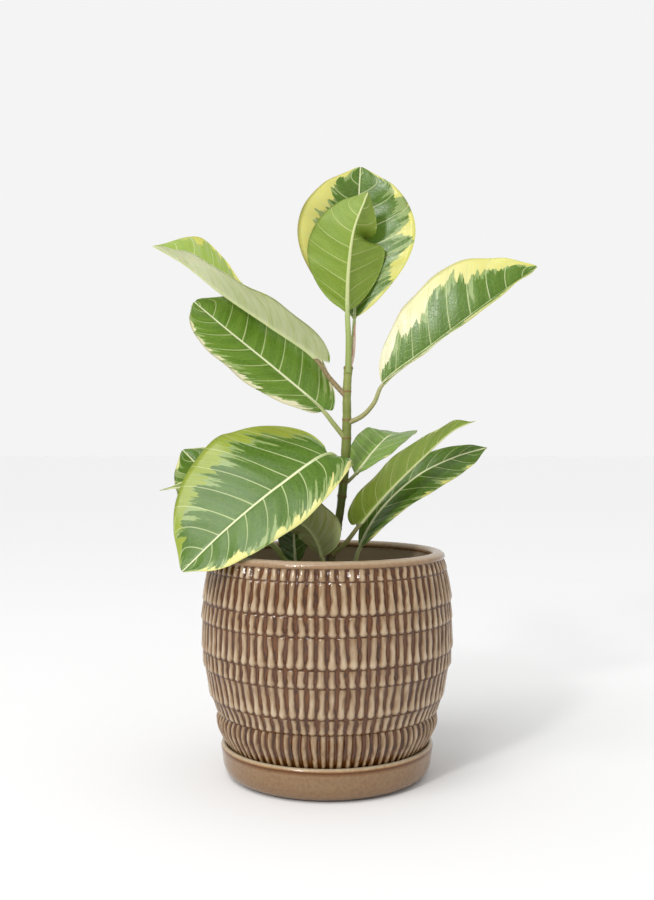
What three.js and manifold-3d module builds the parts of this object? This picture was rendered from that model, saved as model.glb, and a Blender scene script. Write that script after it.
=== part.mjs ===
// Potted lofty fig: a young variegated Ficus altissima in a carved, glazed stoneware pot on its saucer.
// Millimetres, +Z up. The origin is the centre of the saucer's underside.
import * as THREE from 'three';
import { mergeVertices } from 'three/addons/utils/BufferGeometryUtils.js';
import { ParametricGeometry } from 'three/addons/geometries/ParametricGeometry.js';
import Module from 'manifold-3d';

const wasm = await Module();
wasm.setup();

// ---- driving dimensions ----
const GAP = 0.3; // clearance kept between pieces that touch
const ROUND_SIDES = 44; // facets around the pot, saucer and soil

const SAUCER = { footRadius: 70, wallRadius: 82.4, rimRadius: 83.6, rimWidth: 4.8, floor: 5, height: 26 };

// Each carved band of the pot leans outward like a roof tile and steps back in under its lower edge.
// [height of the lower edge, radius there, depth of the step under it]
const BANDS = [
  [160.1, 95.6, 3],
  [136.2, 99.2, 3.6],
  [121.6, 99.9, 3.6],
  [98.6, 99.7, 3.8],
  [85.3, 98.2, 4.2],
  [62.1, 92.8, 3.8],
  [50.1, 87.6, 3.4],
];
const POT = {
  rimHeight: 175,
  mouthRadius: 83,
  lipRadius: 93,
  lipDepth: 5.4,
  neckRadius: 91,
  footRadius: 68,
  footHeight: 3.4,
  wall: 6.5,
  floor: 9,
  drainRadius: 9,
};
const POT_BASE = SAUCER.floor + GAP;
const SOIL_HEIGHT = 148;

// Route of the main stem: [x, y, z, radius]
const STEM = [
  [1.5, 0, 92, 3.4],
  [2, 0, 148, 3.7],
  [3, 0, 169, 3.6],
  [7, 0, 187, 3.6],
  [10.2, 0, 204, 3.2],
  [13, 0, 228, 3.5],
  [15, 0, 254, 3.8],
  [15.8, 0, 278, 3.5],
  [15.8, 0, 301, 3.3],
  [17, 0, 321, 3.4],
];
const STEM_SIDES = 10;
const BUD = { route: [[17.6, 0.6, 318], [20.6, 1.6, 330], [22.4, 1.8, 356]], radius: 1.5 };

const BLADE = { thickness: 1.3, around: 12, along: 10 };
const STALK_SIDES = 6;

// One entry for each leaf, lengths in millimetres and angles in degrees.
// stalk: points from the stem or the soil up to the blade; rib: points along the midrib, base to tip.
// face: the way that the glossy side looks; left and right: half widths; fold: how far each half is raised.
// broadest: the place along the rib of the greatest width; lobe: how far the base reaches back past the stalk.
const LEAVES = {
  leaf_crown_back: {
    stalk: [[17, 2.2, 314], [21, 6, 344]],
    rib: [[22, 8, 360], [23, 15, 401], [25, 18, 444], [27, 15, 483]],
    face: [0, -1, 0.2], left: 49, right: 48, foldLeft: 12, foldRight: 14,
    broadest: [0.55, 0.55], base: [0.7, 0.7], tip: 0.62,
    lobe: [0, 0], stalkRadius: 1.8,
  },
  leaf_crown_front: {
    stalk: [[16.8, -1.5, 315], [17, -3.5, 342]],
    rib: [[16, -6, 364], [17, -14, 397], [21, -19, 425], [32, -14, 455]],
    face: [0, 1, 0.3], left: 36, right: 38, foldLeft: 38, foldRight: 28,
    broadest: [0.46, 0.46], base: [0.7, 0.75], tip: 0.62,
    lobe: [0, 0], stalkRadius: 2.6,
  },
  leaf_upper_left: {
    stalk: [[15.6, -0.5, 296], [2, -3, 311]],
    rib: [[-10, -6, 327], [-45, -14, 351], [-81, -18, 375], [-112, -17, 399], [-136, -14, 413]],
    face: [0.3, -0.1, 1], left: 31, right: 33, foldLeft: 34, foldRight: 46,
    broadest: [0.3, 0.72], base: [0.6, 0.8], tip: 0.8,
    lobe: [11, 3], stalkRadius: 2.2,
  },
  leaf_mid_left: {
    stalk: [[15.4, -0.5, 262], [5, -3, 275]],
    rib: [[-4, -5, 286], [-40, -11, 317], [-78, -10, 348], [-105, -4, 371]],
    face: [0.4, -0.85, 0.5], left: 33, right: 42, foldLeft: 8, foldRight: 10,
    broadest: [0.5, 0.46], base: [0.62, 0.5], tip: 0.5,
    lobe: [1, 7], stalkRadius: 2.2,
  },
  leaf_upper_right: {
    stalk: [[15.8, -0.5, 275], [28, -4, 281], [37, -7, 291]],
    rib: [[44, -9, 306], [81, -18, 335], [126, -24, 369], [163, -20, 396]],
    face: [-0.42, -0.7, 0.57], left: 44, right: 33, foldLeft: 30, foldRight: 40,
    broadest: [0.53, 0.5], base: [0.62, 0.62], tip: 0.7,
    lobe: [0, 0], stalkRadius: 2.1,
  },
  leaf_low_left_front: {
    stalk: [[14.5, -1, 246], [9.5, -5, 246.5]],
    rib: [[1, -13, 251], [-35, -38, 228], [-74, -56, 196], [-106, -64, 165]],
    face: [-0.2, -0.9, 0.4], left: 38, right: 65, foldLeft: 8, foldRight: -4,
    broadest: [0.42, 0.46], base: [0.62, 0.72], tip: 0.62,
    lobe: [19, 0], stalkRadius: 2.3,
  },
  leaf_low_left_back: {
    stalk: [[-24, 3, 134], [-34, 6, 166]],
    rib: [[-47, 12, 181], [-70, 26, 204], [-95, 37, 229], [-121, 44, 254]],
    face: [0.1, -0.9, 0.5], left: 36, right: 27, foldLeft: 10, foldRight: 10,
    broadest: [0.58, 0.58], base: [0.62, 0.62], tip: 0.62,
    lobe: [2, 2], stalkRadius: 2.8,
  },
  leaf_low_left_edge: {
    stalk: [[8, 1, 192], [-10, 5, 205]],
    rib: [[-28, 6, 216], [-64, 5, 225], [-100, 3, 227], [-133, 1, 222]],
    face: [0, -0.12, 1], left: 24, right: 15, foldLeft: 8, foldRight: 8,
    broadest: [0.5, 0.5], base: [0.62, 0.62], tip: 0.8,
    lobe: [3, 3], stalkRadius: 1.9,
  },
  leaf_low_right_small: {
    stalk: [[13, 0.5, 226], [19, 2, 231]],
    rib: [[24, 4, 236], [37, 20, 252], [52, 40, 266], [63, 57, 268]],
    face: [-0.2, -0.5, 0.9], left: 24, right: 26, foldLeft: 8, foldRight: 12,
    broadest: [0.56, 0.56], base: [0.62, 0.62], tip: 0.42,
    lobe: [2, 2], stalkRadius: 1.6,
  },
  leaf_low_right_mid: {
    stalk: [[3, -1.5, 170], [14, -6, 180]],
    rib: [[27, -9, 197], [47, -16, 221], [74, -20, 248], [98, -18, 269], [116, -14, 277]],
    face: [-0.6, 0.4, 0.65], left: 18, right: 22, foldLeft: 40, foldRight: 28,
    broadest: [0.27, 0.27], base: [0.55, 0.55], tip: 1.1,
    lobe: [6, 6], stalkRadius: 2.1,
  },
  leaf_low_right: {
    stalk: [[19, 8, 132], [22, 8, 160]],
    rib: [[26, 9, 175], [42, 11, 204], [73, 13, 233], [103, 13, 248], [129, 11, 256]],
    face: [-0.47, -0.75, 0.5], left: 14, right: 26, foldLeft: 15, foldRight: 12,
    broadest: [0.5, 0.55], base: [0.7, 0.7], tip: 0.8,
    lobe: [0, 0], stalkRadius: 2,
  },
  leaf_low_centre: {
    stalk: [[1, -12, 134], [-3, -14, 160]],
    rib: [[-4, -15, 171], [-12, -19, 190], [-30, -19, 203], [-54, -15, 210]],
    face: [0.5, 0.6, 0.6], left: 31, right: 28, foldLeft: 12, foldRight: 12,
    broadest: [0.46, 0.46], base: [0.8, 0.8], tip: 0.62,
    lobe: [0, 0], stalkRadius: 2.1,
  },
  leaf_low_centre_dark: {
    stalk: [[-19, 5, 132], [-24, 5, 150]],
    rib: [[-25, 5, 162], [-26, 6, 177], [-27, 8, 192], [-28, 11, 206]],
    face: [0, -1, 0.2], left: 13, right: 11, foldLeft: 12, foldRight: 12,
    broadest: [0.5, 0.5], base: [0.7, 0.7], tip: 0.7,
    lobe: [0, 0], stalkRadius: 1.7,
  },
};
const ROOTED = ['leaf_low_left_back', 'leaf_low_right', 'leaf_low_centre', 'leaf_low_centre_dark'];

const COLOURS = {
  saucer: '#8f7658',
  pot: '#a98a62',
  potting_soil: '#3a2a1e',
  main_stem: '#63703c',
  terminal_bud: '#c9a08c',
};

// ---- solids from geometry ----
function solidOf(geometry) {
  const bare = geometry.clone();
  bare.deleteAttribute('normal');
  bare.deleteAttribute('uv');
  const merged = mergeVertices(bare, 1e-4);
  const corners = merged.index.array;
  const triangles = [];
  for (let i = 0; i < corners.length; i += 3) {
    const [a, b, c] = [corners[i], corners[i + 1], corners[i + 2]];
    if (a !== b && b !== c && c !== a) {
      triangles.push(a, b, c);
    }
  }
  const mesh = new wasm.Mesh({
    numProp: 3,
    vertProperties: new Float32Array(merged.attributes.position.array),
    triVerts: new Uint32Array(triangles),
  });
  return new wasm.Manifold(mesh);
}

function meshOf(name, solid, colour, roughness) {
  const { vertProperties, triVerts } = solid.getMesh();
  const geometry = new THREE.BufferGeometry();
  geometry.setAttribute('position', new THREE.BufferAttribute(vertProperties, 3));
  geometry.setIndex(new THREE.BufferAttribute(triVerts, 1));
  geometry.computeVertexNormals();
  const material = new THREE.MeshStandardMaterial({ color: colour, roughness, metalness: 0 });
  const mesh = new THREE.Mesh(geometry, material);
  mesh.name = name;
  return mesh;
}

function turned(profile) {
  const points = profile.map(([radius, height]) => new THREE.Vector2(radius, height));
  const geometry = new THREE.LatheGeometry(points, ROUND_SIDES);
  geometry.rotateX(Math.PI / 2);
  return solidOf(geometry);
}

// ---- curves ----
function curveThrough(points) {
  const vectors = points.map(([x, y, z]) => new THREE.Vector3(x, y, z));
  return new THREE.CatmullRomCurve3(vectors, false, 'centripetal');
}

// Tangent, side and up directions at one place on a curve, with up kept close to the facing direction.
function frameAt(curve, t, facing) {
  const tangent = curve.getTangent(t);
  const side = new THREE.Vector3().crossVectors(tangent, facing).normalize();
  const up = new THREE.Vector3().crossVectors(side, tangent);
  return { centre: curve.getPoint(t), tangent, side, up };
}

// A tube with flat ends whose radius follows radiusAt.
function tube(curve, from, to, facing, radiusAt, sides, steps) {
  const geometry = new ParametricGeometry((v, u, target) => {
    const ring = Math.round(u * (steps + 2));
    const part = Math.min(Math.max((ring - 1) / steps, 0), 1);
    const t = from + (to - from) * part;
    const radius = ring === 0 || ring === steps + 2 ? 0 : radiusAt(part);
    const angle = -2 * Math.PI * v;
    const { centre, side, up } = frameAt(curve, t, facing);
    target.copy(centre);
    target.addScaledVector(side, radius * Math.cos(angle));
    target.addScaledVector(up, radius * Math.sin(angle));
  }, sides, steps + 2);
  return solidOf(geometry);
}

// ---- pot, saucer and soil ----
function saucerProfile() {
  const { footRadius, wallRadius, rimRadius, rimWidth, floor, height } = SAUCER;
  const inner = rimRadius - rimWidth;
  return [
    [0, 0],
    [footRadius, 0],
    [footRadius + 6, 1.6],
    [wallRadius - 1.6, 7],
    [wallRadius, 15],
    [rimRadius, 23],
    [rimRadius - 0.6, 25.2],
    [rimRadius - rimWidth / 2, height],
    [inner + 0.5, 25.2],
    [inner, 23],
    [inner - 1.2, 12],
    [inner - 4, 6.6],
    [footRadius, floor],
    [0, floor],
  ];
}

function potOutside() {
  const points = [];
  let top = POT.rimHeight - POT.lipDepth;
  let radius = POT.neckRadius;
  for (const [bottom, crest, step] of BANDS) {
    const height = top - bottom;
    points.push([radius, top], [crest, bottom + height * 0.16]);
    radius = crest - step;
    top = bottom;
  }
  points.push([radius, top], [84.6, 41], [80.4, 31], [75.6, 22], [71.6, 13]);
  return points;
}

function potInside() {
  const top = POT.rimHeight;
  return [
    [POT.footRadius - 8, POT_BASE + POT.floor],
    [66, 19],
    [74.5, 33],
    [81, 50],
    [86.2, 64],
    [91.5, 88],
    [92.8, 110],
    [92.2, 130],
    [89.4, 150],
    [86.6, 160],
    [84.6, top - 8],
    [POT.mouthRadius, top - 5],
    [POT.mouthRadius, top - 2],
  ];
}

function makePot() {
  const top = POT.rimHeight;
  const rim = [
    [POT.mouthRadius + 1.6, top - 0.2],
    [POT.lipRadius - 5, top],
    [POT.lipRadius - 0.8, top - 1.8],
    [POT.lipRadius, top - 4],
  ];
  const foot = [
    [POT.footRadius, POT_BASE + POT.footHeight],
    [POT.footRadius, POT_BASE],
    [POT.drainRadius, POT_BASE],
    [POT.drainRadius, POT_BASE + POT.floor],
  ];
  const profile = [...foot, ...potInside(), ...rim, ...potOutside()];
  return turned([...profile, profile[0]].reverse());
}

function soilProfile() {
  const wall = potInside().filter(([, height]) => height < SOIL_HEIGHT);
  const below = wall.map(([radius, height]) => [radius - GAP * 1.4, height + GAP]);
  const edge = 89.2;
  return [[0, POT_BASE + POT.floor + GAP], ...below, [edge, SOIL_HEIGHT], [0, SOIL_HEIGHT]];
}

// ---- stem, bud and leaves ----
function stem(extra) {
  const curve = curveThrough(STEM);
  const last = STEM.length - 1;
  const radiusAt = (t) => {
    const below = Math.min(Math.floor(t * last), last - 1);
    const share = t * last - below;
    return STEM[below][3] * (1 - share) + STEM[below + 1][3] * share + extra;
  };
  return tube(curve, 0, 1, new THREE.Vector3(0, -1, 0), radiusAt, STEM_SIDES, 2 * last);
}

function bud() {
  const radiusAt = (t) => BUD.radius * (t < 0.35 ? 1 : Math.sqrt(Math.max(1.08 - t, 0) / 0.73));
  return tube(curveThrough(BUD.route), 0, 1, new THREE.Vector3(0, -1, 0), radiusAt, STALK_SIDES, 6);
}

function leafCurve({ stalk, rib }) {
  return { curve: curveThrough([...stalk, ...rib]), base: stalk.length / (stalk.length + rib.length - 1) };
}

function stalkOf(leaf, extra) {
  const { curve, base } = leafCurve(leaf);
  const reach = base + (1 - base) * 0.12;
  const radiusAt = (t) => leaf.stalkRadius * (1 - 0.3 * t) + extra;
  return tube(curve, 0, reach, new THREE.Vector3(...leaf.face), radiusAt, STALK_SIDES, 3 * leaf.stalk.length);
}

// Half width as a share of the widest place. A power under one fills the outline, over one draws it in.
function outlineAt(t, broadest, base, tip) {
  const bend = Math.log(0.5) / Math.log(broadest);
  const oval = Math.sin(Math.PI * Math.min(Math.max(t, 0), 1) ** bend);
  return oval ** (t < broadest ? base : tip);
}

function bladeOf(leaf) {
  const { curve, base } = leafCurve(leaf);
  const facing = new THREE.Vector3(...leaf.face);
  const geometry = new ParametricGeometry((v, u, target) => {
    const { centre, tangent, side, up } = frameAt(curve, base + (1 - base) * u, facing);
    const open = u <= 0 || u >= 1 ? 0 : 1;
    const angle = -2 * Math.PI * v;
    const across = Math.cos(angle);
    const half = across > 0 ? 1 : 0;
    const outline = outlineAt(u, leaf.broadest[half], leaf.base[half], leaf.tip);
    const width = (half ? leaf.right : leaf.left) * outline;
    const fold = THREE.MathUtils.degToRad(half ? leaf.foldRight : leaf.foldLeft);
    const lift = Math.abs(across) * width * Math.sin(fold) + (BLADE.thickness / 2) * Math.sin(angle);
    target.copy(centre);
    target.addScaledVector(tangent, -open * leaf.lobe[half] * Math.abs(across) ** 1.5 * (1 - u) ** 4);
    target.addScaledVector(side, open * across * width * Math.cos(fold));
    target.addScaledVector(up, open * lift);
  }, BLADE.around, BLADE.along);
  return solidOf(geometry);
}

// ---- assembly ----
const plant = new THREE.Group();
const stemRoom = stem(GAP);
let soil = turned(soilProfile()).subtract(stemRoom);

const leafSolids = {};
for (const [name, leaf] of Object.entries(LEAVES)) {
  leafSolids[name] = bladeOf(leaf).add(stalkOf(leaf, 0)).subtract(stemRoom);
  if (ROOTED.includes(name)) {
    soil = soil.subtract(stalkOf(leaf, GAP));
  }
}

const budRoom = [stemRoom, stalkOf(LEAVES.leaf_crown_back, GAP), stalkOf(LEAVES.leaf_crown_front, GAP)];
const budSolid = budRoom.reduce((solid, room) => solid.subtract(room), bud());

plant.add(meshOf('saucer', turned(saucerProfile()), COLOURS.saucer, 0.3));
plant.add(meshOf('pot', makePot(), COLOURS.pot, 0.25));
plant.add(meshOf('potting_soil', soil, COLOURS.potting_soil, 0.95));
plant.add(meshOf('main_stem', stem(0), COLOURS.main_stem, 0.6));
plant.add(meshOf('terminal_bud', budSolid, COLOURS.terminal_bud, 0.5));
for (const [name, solid] of Object.entries(leafSolids)) {
  plant.add(meshOf(name, solid, '#5f8a3c', 0.35));
}

export default plant;
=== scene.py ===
import math

import bpy
import numpy as np
from bpy.props import FloatProperty, IntProperty, PointerProperty
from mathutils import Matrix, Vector


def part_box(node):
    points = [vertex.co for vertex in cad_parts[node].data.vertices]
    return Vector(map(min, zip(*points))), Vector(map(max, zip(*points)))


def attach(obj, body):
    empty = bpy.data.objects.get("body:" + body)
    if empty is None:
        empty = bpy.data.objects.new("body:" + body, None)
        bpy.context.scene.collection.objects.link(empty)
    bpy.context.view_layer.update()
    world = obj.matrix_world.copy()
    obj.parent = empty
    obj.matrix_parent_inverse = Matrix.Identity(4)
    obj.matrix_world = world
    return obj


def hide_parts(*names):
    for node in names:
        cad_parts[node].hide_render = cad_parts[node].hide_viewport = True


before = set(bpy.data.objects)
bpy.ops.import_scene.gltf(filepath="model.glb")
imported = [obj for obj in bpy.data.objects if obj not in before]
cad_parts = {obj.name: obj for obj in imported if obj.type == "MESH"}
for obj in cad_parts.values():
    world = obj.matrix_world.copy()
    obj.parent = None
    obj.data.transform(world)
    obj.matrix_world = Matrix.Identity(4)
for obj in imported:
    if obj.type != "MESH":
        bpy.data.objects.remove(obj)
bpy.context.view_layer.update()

bl_info = {
    "name": "Potted Lofty Fig",
    "version": (1, 0, 0),
    "blender": (4, 5, 0),
    "location": "View3D > Sidebar > Fig",
    "description": "Finishes a young variegated lofty fig in its carved and glazed stoneware pot",
    "category": "Add Mesh",
}

MM = 0.001
BODY = "root"

MATH = "ShaderNodeMath"
RANGE = "ShaderNodeMapRange"
NOISE = "ShaderNodeTexNoise"
MIX = "ShaderNodeMix"
RAMP = "ShaderNodeValToRGB"


# ---- colour and node helpers ----
def linear(colour):
    """An sRGB hex colour as linear red, green, blue and alpha."""
    parts = [int(colour[i:i + 2], 16) / 255 for i in (1, 3, 5)]
    return [c / 12.92 if c <= 0.04045 else ((c + 0.055) / 1.055) ** 2.4 for c in parts] + [1.0]


def feed(tree, node, feeds):
    """Feeds a node's sockets, named or in order, from values, nodes or other sockets."""
    for socket, source in feeds.items() if isinstance(feeds, dict) else enumerate(feeds):
        if isinstance(source, bpy.types.Node):
            tree.links.new(source.outputs[0], node.inputs[socket])
        elif isinstance(source, bpy.types.NodeSocket):
            tree.links.new(source, node.inputs[socket])
        else:
            node.inputs[socket].default_value = source


def put(tree, kind, feeds=None, **settings):
    """Adds a node with its settings and feeds."""
    node = tree.nodes.new(kind)
    for key, value in settings.items():
        setattr(node, key, value)
    feed(tree, node, feeds or {})
    return node


def set_stops(ramp, stops):
    """Gives a colour ramp its stops, each a place and a hex colour."""
    elements = ramp.color_ramp.elements
    while len(elements) < len(stops):
        elements.new(0.5)
    for element, (place, colour) in zip(elements, stops):
        element.position = place
        element.color = linear(colour)
    return ramp


def new_material(name, roughness, ior, soft=0.0):
    """A material of one Principled shader, with its roughness, index of refraction and softness."""
    material = bpy.data.materials.new(name)
    material.use_nodes = True
    tree = material.node_tree
    tree.nodes.clear()
    shader = put(tree, "ShaderNodeBsdfPrincipled", {
        "Roughness": roughness, "IOR": ior, "Subsurface Weight": soft, "Subsurface Scale": 2 * MM,
    })
    put(tree, "ShaderNodeOutputMaterial", {"Surface": shader})
    return material, tree, shader


def new_tree(name, inputs):
    """A geometry tree with a mesh and other named inputs, and the sockets they come from."""
    tree = bpy.data.node_groups.new(name, "GeometryNodeTree")
    for key, kind in {"Geometry": "Geometry", **inputs}.items():
        tree.interface.new_socket(key, in_out="INPUT", socket_type="NodeSocket" + kind)
    tree.interface.new_socket("Geometry", in_out="OUTPUT", socket_type="NodeSocketGeometry")
    return tree, put(tree, "NodeGroupInput").outputs


# ---- mesh helpers ----
def mesh_object(name, points, faces, attributes=None):
    """A smooth mesh object from points in metres, with named point attributes."""
    mesh = bpy.data.meshes.new(name)
    mesh.from_pydata(np.asarray(points).tolist(), [], faces)
    mesh.shade_smooth()
    for key, values in (attributes or {}).items():
        values = np.asarray(values, dtype=float)
        kind, field = ("FLOAT", "value") if values.ndim == 1 else ("FLOAT_VECTOR", "vector")
        layer = mesh.attributes.new(key, kind, "POINT")
        layer.data.foreach_set(field, values.ravel())
    piece = bpy.data.objects.new(name, mesh)
    bpy.context.collection.objects.link(piece)
    return piece


def grid_faces(rows, columns, wrap, first=0, flip=False):
    """Quads of a grid of points, closed around its columns where it wraps."""
    faces = []
    for r in range(rows - 1):
        for c in range(columns if wrap else columns - 1):
            d = (c + 1) % columns
            quad = [first + r * columns + c, first + r * columns + d,
                    first + (r + 1) * columns + d, first + (r + 1) * columns + c]
            faces.append(quad[::-1] if flip else quad)
    return faces


def finish_piece(piece, node, slot, *materials):
    """Gives a piece its materials, and has it stand for its node on the body."""
    for material in materials:
        piece.data.materials.append(material)
    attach(piece, BODY)
    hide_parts(node)


def turned(name, profile, around, attributes=None):
    """A closed body of revolution. The profile runs from the bottom up the outside and down the inside."""
    profile = np.asarray(profile)
    turn = np.arange(around) / around
    angle = 2 * np.pi * turn
    ring = np.stack([np.cos(angle), np.sin(angle)], 1)
    points = np.concatenate([
        profile[:, None, 0, None] * ring[None, :, :],
        np.broadcast_to(profile[:, None, 1, None], (len(profile), around, 1)),
    ], 2).reshape(-1, 3)
    spread = {key: np.repeat(values, around) for key, values in (attributes or {}).items()}
    spread["turn"] = np.tile(turn, len(profile))
    closed = np.allclose(profile[0], profile[-1])
    if closed:
        points = points[:-around]
        spread = {key: values[:-around] for key, values in spread.items()}
        rows = len(profile) - 1
        faces = grid_faces(rows, around, True)
        last = (rows - 1) * around
        faces += [[last + c, last + (c + 1) % around, (c + 1) % around, c] for c in range(around)]
    else:
        faces = grid_faces(len(profile), around, True)
        faces.append(list(range(around))[::-1])
        faces.append([(len(profile) - 1) * around + c for c in range(around)])
    return mesh_object(name, points, faces, spread)


def smooth_line(points, steps):
    """A Catmull-Rom line through points, with the given number of steps in each span."""
    line = Spine(points)
    return line.at(np.linspace(0, len(points) - 1, (len(points) - 1) * steps + 1))


class Spine:
    """A centripetal Catmull-Rom curve through points. Places on it count the points from zero."""

    def __init__(self, points):
        points = np.asarray(points, dtype=float)
        self.count = len(points)
        self.points = np.vstack([2 * points[0] - points[1], points, 2 * points[-1] - points[-2]])

    def at(self, places):
        """Points on the curve."""
        places = np.clip(np.asarray(places, dtype=float), 0, self.count - 1)
        span = np.minimum(places.astype(int), self.count - 2)
        t = (places - span)[:, None]
        a, b, c, d = (self.points[span + k] for k in range(4))
        steps = (b - a, c - b, d - c)
        before, here, after = (np.sqrt(np.linalg.norm(v, axis=1, keepdims=True)) for v in steps)
        m = ((b - a) / before - (c - a) / (before + here)) * here + (c - b)
        n = (c - b) + ((d - c) / after - (d - b) / (here + after)) * here
        return (
            (2 * t**3 - 3 * t**2 + 1) * b + (t**3 - 2 * t**2 + t) * m
            + (-2 * t**3 + 3 * t**2) * c + (t**3 - t**2) * n
        )

    def frames(self, places, facing):
        """Centres, tangents, sides and ups, with up kept close to the facing direction."""
        step = 1e-3
        centre = self.at(places)
        tangent = unit(self.at(np.asarray(places) + step) - self.at(np.asarray(places) - step))
        side = unit(np.cross(tangent, facing))
        return centre, tangent, side, np.cross(side, tangent)


def unit(vectors):
    """Vectors brought to length one."""
    return vectors / np.linalg.norm(vectors, axis=-1, keepdims=True)


def tube_points(spine, places, facing, radii, sides):
    """Rings of points around a spine."""
    centre, _, side, up = spine.frames(places, facing)
    angle = 2 * np.pi * np.arange(sides) / sides
    ring = side[:, None] * np.cos(angle)[None, :, None] + up[:, None] * np.sin(angle)[None, :, None]
    return (centre[:, None] + ring * np.asarray(radii)[:, None, None]).reshape(-1, 3)


def tube_faces(rings, sides, first=0):
    """Faces of a tube with closed ends."""
    faces = grid_faces(rings, sides, True, first, True)
    faces.append([first + c for c in range(sides)])
    faces.append([first + (rings - 1) * sides + c for c in range(sides)][::-1])
    return faces


# ---- settings ----
class FigPotSettings(bpy.types.PropertyGroup):
    """How finely the pot is carved and meshed."""
    ridges: IntProperty(name="Ridges", description="Carved ridges around each band", default=82, min=20)
    around: IntProperty(name="Facets", description="Facets around the pot", default=540, min=64)


class FigLeafSettings(bpy.types.PropertyGroup):
    """Fineness of the leaves."""
    along: IntProperty(name="Steps along", description="Steps from the base to the tip of a blade", default=120)
    across: IntProperty(name="Steps across", description="Steps from midrib to margin", default=20)
    thickness: FloatProperty(
        name="Thickness", description="Thickness of a blade", default=0.5 * MM, unit="LENGTH")


class FigStageSettings(bpy.types.PropertyGroup):
    """Where the camera stands, and its lens."""
    distance: FloatProperty(name="Distance", description="Camera to pot axis", default=0.81, unit="LENGTH")
    height: FloatProperty(name="Height", description="Camera above the floor", default=0.254, unit="LENGTH")
    lens: FloatProperty(name="Lens", description="Focal length in millimetres", default=40.8)


# ---- pot ----
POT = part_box("pot")
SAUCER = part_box("saucer")
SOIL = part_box("potting_soil")
RIM_TOP = POT[1].z / MM
FOOT = POT[0].z / MM

# Carved bands from the top down: height of the lower edge, radius there, depth of the step under it.
BANDS = [
    (160.1, 95.6, 3),
    (136.2, 99.2, 3.6),
    (121.6, 99.9, 3.6),
    (98.6, 99.7, 3.8),
    (85.3, 98.2, 4.2),
    (62.1, 92.8, 3.8),
    (50.1, 87.6, 3.4),
]
NECK = (RIM_TOP - 5.4, 91)
FOOT_BAND = [(50.1, 84.2), (41, 84.2), (31, 80.0), (22, 75.2), (13, 71.2), (FOOT + 3.4, 68)]
LIP_OUTSIDE = [
    (92.6, RIM_TOP - 5.2), (93.0, RIM_TOP - 4.2), (93.0, RIM_TOP - 3.2), (92.3, RIM_TOP - 1.9),
    (90.8, RIM_TOP - 0.8), (88.6, RIM_TOP - 0.15), (87.4, RIM_TOP), (86.2, RIM_TOP - 0.05),
    (84.9, RIM_TOP - 0.4), (83.8, RIM_TOP - 1.1), (83.2, RIM_TOP - 2.2), (83.0, RIM_TOP - 3.6),
    (83.3, RIM_TOP - 4.8), (84.3, RIM_TOP - 6.0), (85.0, RIM_TOP - 8.5),
]
INNER_WALL = [
    (86.6, 160), (89.4, 150), (92.2, 130), (92.8, 110), (91.5, 88), (86.2, 64), (81, 50), (74.5, 33), (66, 19),
]


def band_rows(top, bottom, fine):
    """Shares of the way down a band, closer together where the ridges end in bulbs."""
    height = top - bottom
    upper = np.linspace(0, 0.78, max(4, round(height * 0.78 / 1.5)), endpoint=False)
    lower = np.linspace(0.78, 1, max(5, round(height * 0.22 / fine)), endpoint=False)
    return np.concatenate([upper, lower])


def pot_profile(pitch):
    """The pot's outline without ridges, from the foot upwards, with what the carving reads at each place."""
    rows = []
    top, radius = NECK
    for number, (bottom, crest, step) in enumerate(BANDS):
        below = crest - step * 0.75
        for drop in band_rows(top, bottom, 0.55):
            floor = radius + (below - radius) * drop
            rise = radius + 1.1 + (crest - radius - 1.5) * drop ** 0.8 - floor
            rows.append((floor, top + (bottom - top) * drop, number, drop, rise, (top - bottom) / pitch))
        top, radius = bottom, below
    foot = Spine(FOOT_BAND).at(np.linspace(0, len(FOOT_BAND) - 1, 26))
    for height, radius in foot:
        drop = (FOOT_BAND[0][0] - height) / (FOOT_BAND[0][0] - FOOT_BAND[-1][0])
        rise = 2.6 * (1 - drop ** 3) * min(1, drop * 8 + 0.4)
        rows.append((radius, height, len(BANDS), drop * 0.6, rise, 6))
    outside = rows[::-1]
    plain = [(r, z, -1, 0, 0, 1) for r, z in LIP_OUTSIDE + INNER_WALL]
    drain = [(60, FOOT + 9), (9, FOOT + 9), (9, FOOT), (66.6, FOOT), (68, FOOT + 1)]
    closing = [(r, z, -1, 0, 0, 1) for r, z in drain]
    return np.array(outside + plain + closing + outside[:1])


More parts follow.
